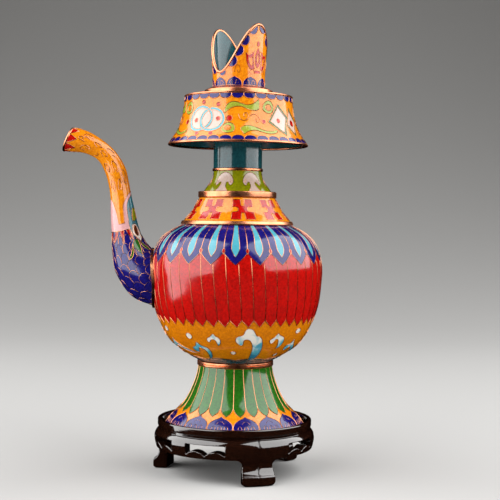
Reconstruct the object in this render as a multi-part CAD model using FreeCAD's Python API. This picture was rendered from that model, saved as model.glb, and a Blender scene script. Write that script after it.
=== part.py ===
"""Ritual vase with a curved spout: enamelled copper shells and turned copper rings, on a wood stand.

Millimetres. Z is the vase's own axis, up from the surface that the stand's feet rest on.
The spout points along -X, and the front of the vase faces -Y.
"""

import FreeCAD
import Part
import math
import os

V = FreeCAD.Vector
AXIS = V(0, 0, 1)
CENTRE = V(0, 0, 0)
FULL_TURN = 360.0

# Walls of the enamelled pieces
copper_wall = 0.9
enamel_coat = 0.6
lining_coat = 0.3
ring_proud = 0.4
cut_overrun = 5.0

# Stand: a turned lip ring and a floor board on a carved apron with three feet
foot_play = 1.1
lip_width = 2.1
lip_depth = 3.5
lip_band_height = 3.4
lip_edge_round = 0.6
groove_depth = 1.1
groove_height = 1.2
floor_thickness = 2.6
floor_ledge_width = 2.3
apron_height = 8.8
apron_top_width = 1.6
apron_bulge = 2.0
apron_undercut = 1.0
shank_height = 4.2
ankle_depth = 0.9
ankle_height = 3.0
toe_flare = 2.5
toe_height = 4.4
toe_round = 0.9
toe_corner_radius = 2.6
leg_count = 3
leg_width = 16.0
leg_corner_radius = 3.0
front_leg_angle = 17.4
window_offset_angle = 21.5
window_width = 19.2
window_sill = 1.3
window_height = 5.0
window_scallop = 2.2

# Foot of the vase: a copper base rim and a flared skirt
seat_gap = 0.05
base_rim_height = 1.15
foot_bottom_radius = 32.8
foot_top_radius = 17.65
foot_height = 27.3
foot_shares = [(0.0, 1.0), (0.044, 0.947), (0.114, 0.854), (0.183, 0.728), (0.253, 0.609), (0.322, 0.49),
               (0.392, 0.397), (0.531, 0.258), (0.67, 0.152), (0.81, 0.063), (1.0, 0.0)]
foot_ring_height = 2.3
foot_ring_groove = 0.2
belly_seat_width = 1.6

# Belly: two spun halves that meet at the widest place
belly_radius = 40.7
belly_bottom_radius = 17.5
belly_top_radius = 26.0
belly_lower_height = 43.2
belly_upper_height = 20.85
belly_lower_shares = [(0.0, 0.0), (0.046, 0.147), (0.09, 0.289), (0.134, 0.409), (0.178, 0.509),
                      (0.271, 0.655), (0.435, 0.819), (0.66, 0.944), (0.87, 0.987), (1.0, 1.0)]
belly_upper_shares = [(0.197, 0.973), (0.388, 0.905), (0.571, 0.796), (0.753, 0.599), (0.868, 0.374),
                      (0.945, 0.163), (1.0, 0.0)]

# Shoulder: ring, flared collar, ring
shoulder_ring_height = 1.85
shoulder_ring_proud = 0.8
shoulder_ring_top_proud = 0.5
collar_bottom_radius = 25.6
collar_top_radius = 18.1
collar_height = 10.85
collar_shares = [(0.0, 1.0), (0.213, 0.71), (0.389, 0.5), (0.565, 0.349), (0.741, 0.204), (0.917, 0.066),
                 (1.0, 0.0)]
collar_ring_height = 2.95

# Neck: flare, ring and straight tube
flare_bottom_radius = 16.2
flare_top_radius = 11.55
flare_height = 9.55
flare_shares = [(0.0, 1.0), (0.073, 0.903), (0.199, 0.72), (0.398, 0.419), (0.597, 0.215), (0.848, 0.043),
                (1.0, 0.0)]
neck_ring_height = 1.4
neck_radius = 11.45
neck_height = 33.2
ring_edge_round = 0.45

# Hat: flared skirt round the neck, with a rolled lower rim and a top plate
hat_bottom_radius = 32.9
hat_top_radius = 25.35
hat_height = 21.65
hat_shares = [(0.0, 1.0), (0.055, 0.894), (0.12, 0.755), (0.189, 0.629), (0.254, 0.51), (0.319, 0.417),
              (0.453, 0.285), (0.582, 0.185), (0.711, 0.119), (0.845, 0.066), (1.0, 0.0)]
hat_rim_height = 1.0
hat_rim_proud = 0.2
plate_thickness = 0.8
plate_edge_round = 0.3
plate_proud = 0.2

# Mouth: stepped collar and a tube whose top is cut to two rounded lobes, with a copper edge
mouth_collar_radius = 16.1
mouth_collar_step = 2.6
mouth_collar_height = 4.05
mouth_base_radius = 12.35
mouth_top_radius = 13.6
mouth_height = 29.0
mouth_enamel_coat = 0.45
mouth_copper_wall = 0.5
mouth_lining_coat = 0.2
notch_floor_height = 6.0
mouth_edge_width = 1.0
mouth_edge_proud = 0.12
notch_angle = -45.0
quarter_steps = 8

# Spout: centre line stations from the tip to the belly, each with its outer radius
spout_wall = 0.75
spout_enamel_coat = 0.45
spout_lip_thickness = 0.7
spout_lip_proud = 0.12
spout_collar_proud = 0.5
spout_collar_height = 1.0
spout_reach = 39.9
spout_rise = 65.4
spout_root_drop = 5.2
spout_root_radius = 12.8
spout_station_shares = [  # of the reach, the rise and the root's radius, then the line's slope in degrees
    (1.0, 1.0, 0.484, 155.5),
    (0.885, 0.994, 0.453, 165.0),
    (0.76, 0.976, 0.41, 161.0),
    (0.602, 0.923, 0.359, 144.0),
    (0.509, 0.867, 0.367, 128.0),
    (0.424, 0.774, 0.398, 110.0),
    (0.388, 0.689, 0.391, 100.0),
    (0.362, 0.599, 0.395, 99.0),
    (0.343, 0.513, 0.441, 97.5),
    (0.321, 0.413, 0.488, 99.0),
    (0.289, 0.308, 0.555, 102.0),
    (0.257, 0.232, 0.656, 107.0),
    (0.184, 0.122, 0.828, 124.0),
    (0.043, 0.032, 0.984, 148.0),
    (-0.168, -0.015, 1.008, 165.0),
]

# Radii of the stand, from the rebate that holds the vase's foot out to the toes
rebate_radius = foot_bottom_radius + ring_proud + foot_play
lip_radius = rebate_radius + lip_width
groove_radius = lip_radius - groove_depth
apron_inner_radius = rebate_radius - floor_ledge_width
apron_top_radius = rebate_radius + apron_top_width
apron_radius = apron_top_radius + apron_bulge
apron_foot_radius = apron_radius - apron_undercut
leg_waist_radius = apron_foot_radius - ankle_depth
toe_radius = leg_waist_radius + toe_flare

# Heights of the stacked pieces, from the table up
leg_waist_z = toe_height + ankle_height
apron_bottom_z = leg_waist_z + shank_height
apron_top_z = apron_bottom_z + apron_height
window_bottom_z = apron_bottom_z + window_sill
window_top_z = window_bottom_z + window_height
lip_band_z = apron_top_z + groove_height
stand_top_z = lip_band_z + lip_band_height
floor_top_z = stand_top_z - lip_depth
base_rim_z = floor_top_z + seat_gap
foot_z = base_rim_z + base_rim_height
foot_ring_z = foot_z + foot_height
belly_z = foot_ring_z + foot_ring_height
equator_z = belly_z + belly_lower_height
spout_root_z = equator_z - spout_root_drop
shoulder_ring_z = equator_z + belly_upper_height
collar_z = shoulder_ring_z + shoulder_ring_height
collar_ring_z = collar_z + collar_height
flare_z = collar_ring_z + collar_ring_height
neck_ring_z = flare_z + flare_height
neck_z = neck_ring_z + neck_ring_height
plate_z = neck_z + neck_height
hat_z = plate_z - hat_height
mouth_collar_z = plate_z + plate_thickness
mouth_z = mouth_collar_z + mouth_collar_height

os.makedirs("parts", exist_ok=True)


def save(node, shape):
    """Writes one node, after checking that it is made of valid closed solids."""
    for solid in shape.Solids:
        if not solid.isValid() or solid.Volume <= 0:
            raise ValueError(node + " has an invalid solid")
    shape.exportStep("parts/" + node + ".step")
    print(node, len(shape.Solids), round(sum(s.Volume for s in shape.Solids), 1))


def spin(edges, angle=FULL_TURN):
    """Turns a closed outline in the XZ plane about the vase's axis."""
    return Part.Face(Part.Wire(edges)).revolve(CENTRE, AXIS, angle)


def at(radius, height):
    return V(radius, 0, height)


def line(a, b):
    return Part.LineSegment(a, b).toShape()


def polygon(points):
    """Edges of a closed outline with straight sides."""
    return [line(a, b) for a, b in zip(points, points[1:] + points[:1])]


def curve_through(points):
    curve = Part.BSplineCurve()
    curve.interpolate(points)
    return curve


def flank(z_low, height, wide, narrow, shares):
    """Outer line of a flared piece, from shares of its height and of its change in radius."""
    return [at(narrow + s * (wide - narrow), z_low + h * height) for h, s in shares]


def inward(points, depth):
    """The same line moved in by a coat's thickness, with its ends kept at their heights."""
    curve = curve_through(points)
    moved = []
    for p in points:
        slope = curve.tangent(curve.parameter(p))[0]
        moved.append(at(p.x - depth / abs(slope.z), p.z))
    return moved


def shell_between(outer, inner):
    """Solid of revolution between two lines that start and end at the same heights."""
    outer_edge = curve_through(outer).toShape()
    inner_edge = curve_through(inner).toShape()
    return spin([outer_edge, line(outer[-1], inner[-1]), inner_edge, line(inner[0], outer[0])])


def core_of(points):
    """Solid of revolution that fills a line in to the axis."""
    low = at(0, points[0].z)
    high = at(0, points[-1].z)
    return spin([curve_through(points).toShape(), line(points[-1], high), line(high, low),
                 line(low, points[0])])


def coated(points):
    """Lines of the enamel face, the copper under it and the copper's inner face."""
    copper = inward(points, enamel_coat)
    return points, copper, inward(points, enamel_coat + copper_wall)


def round_edges(shape, radius, size, wanted):
    """Rounds the circular edges whose centre height and radius the test accepts."""
    edges = [e for e in shape.Edges if isinstance(e.Curve, Part.Circle) and wanted(e.Curve)]
    return shape.makeFillet(min(radius, size / 2.01), edges)


def turned_ring(inner, outer_low, outer_high, z_low, height, edge=ring_edge_round):
    """A turned copper ring: flat under and over, with rounded outer corners."""
    ring = spin(polygon([at(inner, z_low), at(outer_low, z_low), at(outer_high, z_low + height),
                         at(inner, z_low + height)]))
    return round_edges(ring, edge, height, lambda c: c.Radius > (inner + min(outer_low, outer_high)) / 2)


# Stand

def sector(profile_edges, middle_angle, half_angle):
    """Part of a turned shape, centred on an angle measured from the front towards +X."""
    piece = spin(profile_edges, 2 * half_angle)
    piece.rotate(CENTRE, AXIS, middle_angle - 90.0 - half_angle)
    return piece


def facing(shape, angle):
    """Turns a shape modelled towards -Y so that it faces the given angle."""
    shape.rotate(CENTRE, AXIS, angle)
    return shape


def make_stand_lip():
    ring = spin(polygon([at(rebate_radius, apron_top_z), at(groove_radius, apron_top_z),
                         at(groove_radius, lip_band_z), at(lip_radius, lip_band_z),
                         at(lip_radius, stand_top_z), at(rebate_radius, stand_top_z)]))
    return round_edges(ring, lip_edge_round, lip_width,
                       lambda c: c.Radius > groove_radius or c.Center.z > lip_band_z)


def make_stand_floor():
    return Part.makeCylinder(rebate_radius, floor_thickness, at(0, floor_top_z - floor_thickness))


def apron_outline():
    """Section of the apron and its feet: rebate for the floor, bulged face, waist and toe."""
    rebate_z = floor_top_z - floor_thickness
    bulge_z = (apron_top_z + apron_bottom_z) / 2
    shoulder = Part.Arc(at(apron_top_radius, apron_top_z),
                        at(apron_radius - (apron_radius - apron_top_radius) * 0.2,
                           apron_top_z - (apron_top_z - bulge_z) * 0.45),
                        at(apron_radius, bulge_z)).toShape()
    skirt = Part.Arc(at(apron_radius, bulge_z),
                     at(apron_foot_radius + (apron_radius - apron_foot_radius) * 0.6,
                        (bulge_z + apron_bottom_z) / 2),
                     at(apron_foot_radius, apron_bottom_z)).toShape()
    ankle = Part.Arc(at(apron_foot_radius, apron_bottom_z),
                     at(leg_waist_radius, leg_waist_z),
                     at(toe_radius, toe_height)).toShape()
    return [shoulder, skirt, ankle,
            line(at(toe_radius, toe_height), at(toe_radius, toe_round)),
            line(at(toe_radius, toe_round), at(toe_radius - toe_round, 0)),
            line(at(toe_radius - toe_round, 0), at(apron_inner_radius, 0)),
            line(at(apron_inner_radius, 0), at(apron_inner_radius, rebate_z)),
            line(at(apron_inner_radius, rebate_z), at(rebate_radius, rebate_z)),
            line(at(rebate_radius, rebate_z), at(rebate_radius, apron_top_z)),
            line(at(rebate_radius, apron_top_z), at(apron_top_radius, apron_top_z))]


def gap_cutter(middle_angle):
    """The space between two feet: a ring sector with rounded upper corners."""
    leg_half = math.degrees(leg_width / 2 / toe_radius)
    corner = math.degrees(leg_corner_radius / toe_radius)
    half = 180.0 / leg_count - leg_half
    inner = apron_inner_radius - cut_overrun
    outer = toe_radius + cut_overrun

    def block(half_angle, top):
        outline = [at(inner, -cut_overrun), at(outer, -cut_overrun), at(outer, top), at(inner, top)]
        return sector(polygon(outline), middle_angle, half_angle)

    rod_z = apron_bottom_z - leg_corner_radius
    cutter = block(half - corner, apron_bottom_z).fuse(block(half, rod_z))
    for side in (-1, 1):
        rod = Part.makeCylinder(leg_corner_radius, outer - inner, V(0, -inner, rod_z), V(0, -1, 0))
        cutter = cutter.fuse(facing(rod, middle_angle + side * (half - corner)))
    return cutter


def toe_corner_cutter(leg_angle, side):
    """What rounds one lower side corner of a foot, seen from outside."""
    inner = apron_inner_radius - cut_overrun
    reach = toe_radius - inner + cut_overrun
    corner_x = leg_width / 2 - toe_corner_radius
    block = Part.makeBox(toe_corner_radius + cut_overrun, reach, toe_corner_radius + cut_overrun,
                         V(corner_x, -inner - reach, -cut_overrun))
    rod = Part.makeCylinder(toe_corner_radius, reach, V(corner_x, -inner, toe_corner_radius), V(0, -1, 0))
    cutter = block.cut(rod)
    if side < 0:
        cutter = cutter.mirror(CENTRE, V(1, 0, 0))
    return facing(cutter, leg_angle)


def window_cutter(angle):
    """A pierced window in the apron: straight above, with two upward scallops below."""
    half = window_width / 2
    low = window_bottom_z
    crest = low + window_scallop

    def p(x, z):
        return V(x, cut_overrun - apron_inner_radius, z)

    outline = [Part.Arc(p(-half, low), p(-half / 2, crest), p(0, low)).toShape(),
               Part.Arc(p(0, low), p(half / 2, crest), p(half, low)).toShape(),
               line(p(half, low), p(half, window_top_z)),
               line(p(half, window_top_z), p(-half, window_top_z)),
               line(p(-half, window_top_z), p(-half, low))]
    reach = apron_radius - apron_inner_radius + 2 * cut_overrun
    return facing(Part.Face(Part.Wire(outline)).extrude(V(0, -reach, 0)), angle)


def make_stand_segment(index):
    """One third of the apron, from the middle of one foot to the middle of the next."""
    middle = front_leg_angle + (index + 0.5) * FULL_TURN / leg_count
    piece = sector(apron_outline(), middle, 180.0 / leg_count)
    piece = piece.cut(gap_cutter(middle))
    for side in (-1, 1):
        piece = piece.cut(window_cutter(middle + side * window_offset_angle))
        piece = piece.cut(toe_corner_cutter(middle + side * 180.0 / leg_count, -side))
    return piece


# Vase body, from the foot up

foot_lines = coated(flank(foot_z, foot_height, foot_bottom_radius, foot_top_radius, foot_shares))
belly_lower_line = flank(belly_z, belly_lower_height, belly_radius, belly_bottom_radius, belly_lower_shares)
belly_upper_line = flank(equator_z, belly_upper_height, belly_radius, belly_top_radius, belly_upper_shares)
belly_lines = coated(belly_lower_line + belly_upper_line)
collar_lines = coated(flank(collar_z, collar_height, collar_bottom_radius, collar_top_radius, collar_shares))
flare_lines = coated(flank(flare_z, flare_height, flare_bottom_radius, flare_top_radius, flare_shares))
hat_lines = coated(flank(hat_z, hat_height, hat_bottom_radius, hat_top_radius, hat_shares))
hat_lining_line = inward(hat_lines[0], enamel_coat + copper_wall + lining_coat)
neck_bore_radius = neck_radius - enamel_coat - copper_wall


def tube(outer, inner, z_low, height):
    return Part.makeCylinder(outer, height, at(0, z_low)).cut(Part.makeCylinder(inner, height, at(0, z_low)))


def make_base_rim():
    return turned_ring(foot_lines[2][0].x, foot_bottom_radius + ring_proud, foot_bottom_radius + ring_proud,
                       base_rim_z, base_rim_height)


def make_foot_ring():
    """The turned ring under the belly: a fine groove round its middle, and a ledge for the belly."""
    outer = max(foot_top_radius, belly_bottom_radius) + ring_proud
    inner = min(foot_lines[2][-1].x, belly_lines[1][0].x) - belly_seat_width
    ring = turned_ring(inner, outer, outer, foot_ring_z, foot_ring_height)
    middle = foot_ring_z + foot_ring_height / 2
    groove = spin(polygon([at(outer + foot_ring_groove, middle - 2 * foot_ring_groove),
                           at(outer + foot_ring_groove, middle + 2 * foot_ring_groove),
                           at(outer - foot_ring_groove, middle)]))
    return ring.cut(groove)


def make_hat_rim():
    """The rolled copper bead that closes the hat's lower edge."""
    inner = hat_lining_line[0].x
    outer = hat_bottom_radius + hat_rim_proud
    low = hat_z - hat_rim_height
    rim = spin(polygon([at(inner, low), at(outer, low), at(outer, hat_z), at(inner, hat_z)]))
    return round_edges(rim, ring_edge_round, hat_rim_height, lambda c: True)


def make_mouth_collar():
    """The copper collar on the hat's plate: a short upright step, then a slope in to the mouth."""
    step_z = mouth_collar_z + mouth_collar_step
    collar = spin(polygon([at(neck_bore_radius, mouth_collar_z), at(mouth_collar_radius, mouth_collar_z),
                           at(mouth_collar_radius, step_z), at(mouth_base_radius + ring_proud, mouth_z),
                           at(neck_bore_radius, mouth_z)]))
    return round_edges(collar, ring_edge_round, mouth_collar_step,
                       lambda c: c.Radius > (mouth_collar_radius + mouth_base_radius) / 2)


# Spout

def spout_centre(station):
    return V(-belly_radius - spout_reach * station[0], 0, spout_root_z + spout_rise * station[1])


def spout_circle(station, trim):
    """One cross-section of the spout, at right angles to its centre line."""
    circle = Part.makeCircle(spout_root_radius * station[2] - trim)
    circle.rotate(CENTRE, V(0, 1, 0), 90.0 - station[3])
    circle.translate(spout_centre(station))
    return Part.Wire(circle)


def spout_solid(trim):
    return Part.makeLoft([spout_circle(s, trim) for s in spout_station_shares], True, False)


def spout_tip_slab():
    """The space beyond a plane square to the centre line, in from the tip by the lip's thickness."""
    tip = spout_station_shares[0]
    way = V(math.cos(math.radians(tip[3])), 0, math.sin(math.radians(tip[3])))
    plane_centre = spout_centre(tip) - way * spout_lip_thickness
    return Part.makeCylinder(spout_root_radius, cut_overrun, plane_centre, way)


# Mouth tube with its lobed edge

def lobed_height(turn):
    """Height of the enamel's edge above the mouth's base, at an angle from the middle of a notch."""
    lobe = mouth_height - mouth_edge_width - notch_floor_height
    return notch_floor_height + lobe * math.sin(turn) ** 2


def mouth_point(turn, trim, height):
    radius = mouth_base_radius + (mouth_top_radius - mouth_base_radius) * height / mouth_height - trim
    angle = turn + math.radians(notch_angle - 90.0)
    return V(radius * math.cos(angle), radius * math.sin(angle), mouth_z + height)


def quarter_turns(quarter):
    return [math.radians(90.0) * (quarter + k / quarter_steps) for k in range(quarter_steps + 1)]


def edge_through(points):
    curve = Part.BSplineCurve()
    curve.interpolate(Points=points, Parameters=[float(k) for k in range(len(points))])
    return curve.toShape()


def base_curve(quarter, trim):
    return edge_through([mouth_point(t, trim, 0) for t in quarter_turns(quarter)])


def lobe_curve(quarter, trim):
    return edge_through([mouth_point(t, trim, lobed_height(t)) for t in quarter_turns(quarter)])


def rim_curve(quarter, trim):
    """The lobed edge moved out by the width of its copper edging, square to the edge."""
    points = []
    for t in quarter_turns(quarter):
        lobe = mouth_height - mouth_edge_width - notch_floor_height
        climb = lobe * math.sin(2 * t) / mouth_top_radius
        length = math.hypot(1, climb)
        points.append(mouth_point(t - mouth_edge_width * climb / length / mouth_top_radius, trim,
                                  lobed_height(t) + mouth_edge_width / length))
    return edge_through(points)


def ring_between(low, high, outer_trim, inner_trim):
    """A closed wall between a lower and an upper curve, each given for four quarters and two radii."""
    faces = []
    for quarter in range(4):
        low_out = low(quarter, outer_trim)
        low_in = low(quarter, inner_trim)
        high_out = high(quarter, outer_trim)
        high_in = high(quarter, inner_trim)
        for a, b in ((low_out, high_out), (low_in, high_in), (low_in, low_out), (high_in, high_out)):
            faces.append(Part.makeRuledSurface(a, b))
    shell = Part.makeShell(faces)
    shell.sewShape()
    solid = Part.Solid(Part.Shell(shell.Faces))
    if solid.Volume < 0:
        solid.reverse()
    return solid


def main():
    save("stand_lip_ring", make_stand_lip())
    save("stand_floor", make_stand_floor())
    for index in range(leg_count):
        save("stand_apron_%d" % (index + 1), make_stand_segment(index))

    spout_outer = spout_solid(0)
    spout_copper = spout_solid(spout_enamel_coat)
    spout_bore = spout_solid(spout_enamel_coat + spout_wall)

    save("foot_base_rim", make_base_rim())
    save("foot_shell", shell_between(foot_lines[1], foot_lines[2]))
    save("foot_enamel", shell_between(foot_lines[0], foot_lines[1]))
    save("foot_ring", make_foot_ring())

    belly_shell = shell_between(belly_lines[1], belly_lines[2])
    belly_bottom = core_of(belly_lines[1]).common(
        Part.makeCylinder(belly_radius, copper_wall, at(0, belly_z)))
    belly_shell = belly_shell.fuse(belly_bottom).removeSplitter().cut(spout_bore)
    lower_space = Part.makeCylinder(belly_radius + cut_overrun, belly_lower_height, at(0, belly_z))
    save("belly_lower_shell", belly_shell.common(lower_space))
    save("belly_upper_shell", belly_shell.cut(lower_space))
    save("belly_enamel", shell_between(belly_lines[0], belly_lines[1]).cut(spout_copper))

    shoulder_bore = min(belly_lines[2][-1].x, collar_lines[2][0].x)
    save("shoulder_ring", turned_ring(shoulder_bore, belly_top_radius + shoulder_ring_proud,
                                      collar_bottom_radius + shoulder_ring_top_proud,
                                      shoulder_ring_z, shoulder_ring_height))
    save("collar_shell", shell_between(collar_lines[1], collar_lines[2]))
    save("collar_enamel", shell_between(collar_lines[0], collar_lines[1]))
    collar_ring_outer = max(collar_top_radius, flare_bottom_radius) + ring_proud
    collar_ring_bore = min(collar_lines[2][-1].x, flare_lines[2][0].x)
    save("collar_ring", turned_ring(collar_ring_bore, collar_ring_outer, collar_ring_outer,
                                    collar_ring_z, collar_ring_height))
    save("neck_flare_shell", shell_between(flare_lines[1], flare_lines[2]))
    save("neck_flare_enamel", shell_between(flare_lines[0], flare_lines[1]))
    neck_ring_outer = max(flare_top_radius, neck_radius) + ring_proud
    neck_ring_bore = min(flare_lines[2][-1].x, neck_bore_radius)
    save("neck_ring", turned_ring(neck_ring_bore, neck_ring_outer, neck_ring_outer,
                                  neck_ring_z, neck_ring_height))
    neck_copper = neck_radius - enamel_coat
    save("neck_tube", tube(neck_copper, neck_bore_radius, neck_z, neck_height))
    save("neck_enamel", tube(neck_radius, neck_copper, neck_z, neck_height))

    save("hat_shell", shell_between(hat_lines[1], hat_lines[2]))
    save("hat_enamel", shell_between(hat_lines[0], hat_lines[1]))
    save("hat_lining", shell_between(hat_lines[2], hat_lining_line))
    save("hat_lower_rim", make_hat_rim())
    plate_radius = hat_top_radius + plate_proud
    save("hat_top_plate", turned_ring(neck_bore_radius, plate_radius, plate_radius, plate_z, plate_thickness,
                                      plate_edge_round))

    save("mouth_collar_ring", make_mouth_collar())
    mouth_copper = mouth_enamel_coat + mouth_copper_wall
    mouth_bore = mouth_copper + mouth_lining_coat
    save("mouth_tube", ring_between(base_curve, lobe_curve, mouth_enamel_coat, mouth_copper))
    save("mouth_enamel", ring_between(base_curve, lobe_curve, 0, mouth_enamel_coat))
    save("mouth_lining", ring_between(base_curve, lobe_curve, mouth_copper, mouth_bore))
    save("mouth_edge_rim", ring_between(lobe_curve, rim_curve,
                                        -mouth_edge_proud, mouth_bore + mouth_edge_proud))

    belly_face = core_of(belly_lines[0])
    belly_copper_face = core_of(belly_lines[1])
    tip = spout_tip_slab()
    save("spout_tube", spout_copper.cut(spout_bore).cut(belly_copper_face).cut(tip))
    collar_space = core_of(inward(belly_lines[0], -spout_collar_height))
    collar = spout_solid(-spout_collar_proud).cut(spout_copper).common(collar_space).cut(belly_face)
    save("spout_root_collar", collar)
    save("spout_enamel", spout_outer.cut(spout_copper).cut(collar_space).cut(tip))
    save("spout_lip_ring", spout_solid(-spout_lip_proud).cut(spout_bore).common(tip))


main()
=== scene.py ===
import bisect
import math
import bmesh
import bpy
from mathutils import Matrix, Vector
from mathutils.geometry import interpolate_bezier


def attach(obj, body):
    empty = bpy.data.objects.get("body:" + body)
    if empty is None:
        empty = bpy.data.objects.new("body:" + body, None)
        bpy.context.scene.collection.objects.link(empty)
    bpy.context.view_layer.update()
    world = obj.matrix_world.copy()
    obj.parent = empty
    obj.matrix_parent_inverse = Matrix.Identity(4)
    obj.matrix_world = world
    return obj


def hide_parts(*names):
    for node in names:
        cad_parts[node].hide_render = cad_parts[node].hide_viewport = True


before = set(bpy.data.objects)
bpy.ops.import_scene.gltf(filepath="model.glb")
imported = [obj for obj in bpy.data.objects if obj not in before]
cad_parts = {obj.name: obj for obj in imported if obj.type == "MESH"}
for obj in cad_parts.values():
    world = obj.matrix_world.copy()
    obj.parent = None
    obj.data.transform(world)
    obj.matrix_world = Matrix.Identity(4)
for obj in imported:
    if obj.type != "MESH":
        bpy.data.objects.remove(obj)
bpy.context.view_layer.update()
scene = bpy.context.scene
mm = 0.001


# Studio
# A plain pale floor that sweeps up behind the vase, a tall soft box on each side of it, and a camera
# a little above the middle of the vase's height, turned and tipped a degree or so as in the photo.
camera_distance = 545 * mm
camera_height = 117.8 * mm
camera_lens = 82.8
camera_sensor = 36
camera_turns = (("Z", -0.663), ("X", 90 - 1.395), ("Z", 0.74))
floor_size = 7.0
sweep_back = 2.6
sweep_height = 3.2
sweep_radius = 2.0
sweep_steps = 24
paper_colour = (0.43, 0.426, 0.418, 1)
paper_roughness = 0.8
soft_box_distance = 0.85
soft_boxes = (  # name, degrees from the front, elevation, roll, width, height and watts
    ("left_soft_box", -72, 27, 14, 1.5, 1.38, 24.0),
    ("right_soft_box", 77, 36, 0, 1.46, 1.12, 19.5))
room_light = (1.0, 0.97, 0.93, 1)
room_strength = 0.15


def verts_in(geometry):
    return [part for part in geometry if isinstance(part, bmesh.types.BMVert)]


camera = bpy.data.objects.new("camera", bpy.data.cameras.new("camera"))
camera.data.lens = camera_lens
camera.data.sensor_width = camera_sensor
camera.matrix_world = Matrix.Translation((0, -camera_distance, camera_height))
for axis, degrees in camera_turns:
    camera.matrix_world = camera.matrix_world @ Matrix.Rotation(math.radians(degrees), 4, axis)
scene.collection.objects.link(camera)
scene.camera = camera
scene.view_settings.view_transform = "Standard"

floor_bm = bmesh.new()
near = floor_bm.verts.new((-floor_size / 2, -sweep_back, 0))
corner = floor_bm.verts.new((-floor_size / 2, sweep_back, 0))
top = floor_bm.verts.new((-floor_size / 2, sweep_back, sweep_height))
for pair in ((near, corner), (corner, top)):
    floor_bm.edges.new(pair)
bmesh.ops.bevel(floor_bm, geom=[corner], offset=sweep_radius, offset_type="OFFSET", segments=sweep_steps,
                profile=0.5, affect="VERTICES", material=-1)
swept = bmesh.ops.extrude_edge_only(floor_bm, edges=floor_bm.edges[:])["geom"]
bmesh.ops.translate(floor_bm, vec=(floor_size, 0, 0), verts=verts_in(swept))
bmesh.ops.recalc_face_normals(floor_bm, faces=floor_bm.faces[:])
floor_mesh = bpy.data.meshes.new("floor")
floor_bm.to_mesh(floor_mesh)
floor_bm.free()
floor_mesh.shade_smooth()
floor = bpy.data.objects.new("floor", floor_mesh)
scene.collection.objects.link(floor)
paper = bpy.data.materials.new("pale_paper")
paper.use_nodes = True
paper_skin = paper.node_tree.nodes["Principled BSDF"]
paper_skin.inputs["Base Color"].default_value = paper_colour
paper_skin.inputs["Roughness"].default_value = paper_roughness
floor_mesh.materials.append(paper)

for name, azimuth, elevation, roll, width, height, watts in soft_boxes:
    light = bpy.data.objects.new(name, bpy.data.lights.new(name, "AREA"))
    light.data.shape = "RECTANGLE"
    light.data.size = width
    light.data.size_y = height
    light.data.energy = watts
    turn, tilt = math.radians(azimuth), math.radians(elevation)
    away = Vector((math.sin(turn) * math.cos(tilt), -math.cos(turn) * math.cos(tilt), math.sin(tilt)))
    light.location = Vector((0, 0, camera_height)) + away * soft_box_distance
    facing = away.to_track_quat("Z", "Y").to_matrix()
    light.rotation_euler = (facing @ Matrix.Rotation(math.radians(roll), 3, "Z")).to_euler()
    scene.collection.objects.link(light)
room = bpy.data.worlds.new("studio")
room.use_nodes = True
room.node_tree.nodes["Background"].inputs["Color"].default_value = room_light
room.node_tree.nodes["Background"].inputs["Strength"].default_value = room_strength
scene.world = room
# As in a dark room, enamel, copper and lacquer reflect the soft boxes and each other, and nothing else.
floor.visible_glossy = False
room.cycles_visibility.glossy = False


# Stand
# A round stand of dark, lacquered hardwood: a turned lip ring and a floor board on a carved apron,
# which is made of three boards that meet in the middle of the feet, glued and then lacquered.
lacquer_grain = (40, 40, 260)
relief_depth = 0.1 * mm
turned_steps = 144
weld_distance = 0.001 * mm
carved_voxel = 0.3 * mm
carved_easing = 0.5
carved_smoothing = 5


def node_group(name, inputs):
    """A node group of surface effects, its input and output nodes' sockets, and the place shaded."""
    group = bpy.data.node_groups.new(name, "ShaderNodeTree")
    for title, kind, value in inputs:
        socket = group.interface.new_socket(title, in_out="INPUT", socket_type="NodeSocket" + kind)
        socket.default_value = value
    for title, kind in (("Colour", "Color"), ("Roughness", "Float"), ("Height", "Float")):
        group.interface.new_socket(title, in_out="OUTPUT", socket_type="NodeSocket" + kind)
    place = group.nodes.new("ShaderNodeTexCoord").outputs["Object"]
    return group, group.nodes.new("NodeGroupInput").outputs, group.nodes.new("NodeGroupOutput").inputs, place


def give_out(group, sockets, colour, roughness, height):
    """Links what a node group works out to its output sockets."""
    for socket, source in zip(sockets, (colour, roughness, height)):
        group.links.new(source, socket)


def add_node(tree, kind, links=(), **settings):
    """Adds a node, sets its properties and links its inputs, each given by name or number."""
    node = tree.nodes.new("ShaderNode" + kind)
    for key, value in settings.items():
        setattr(node, key, value)
    for socket, source in links:
        if isinstance(source, bpy.types.NodeSocket):
            tree.links.new(source, node.inputs[socket])
        else:
            node.inputs[socket].default_value = source
    return node


def noise(tree, place, **settings):
    return add_node(tree, "TexNoise", [("Vector", place), *settings.items()]).outputs["Fac"]


def ramp(tree, source, low, high, to_low, to_high):
    return add_node(tree, "MapRange", enumerate((source, low, high, to_low, to_high))).outputs[0]


def hexcolour(code):
    """Linear colour from a display colour written as six hexadecimal digits."""
    shares = [int(code[i:i + 2], 16) / 255 for i in (0, 2, 4)]
    return [s / 12.92 if s < 0.04045 else ((s + 0.055) / 1.055) ** 2.4 for s in shares] + [1]


def mixed(tree, share, first, second):
    node = add_node(tree, "Mix", data_type="RGBA")
    for socket, source in zip((node.inputs[0], node.inputs[6], node.inputs[7]), (share, first, second)):
        if isinstance(source, bpy.types.NodeSocket):
            tree.links.new(source, socket)
        else:
            socket.default_value = source
    return node.outputs[2]


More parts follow.
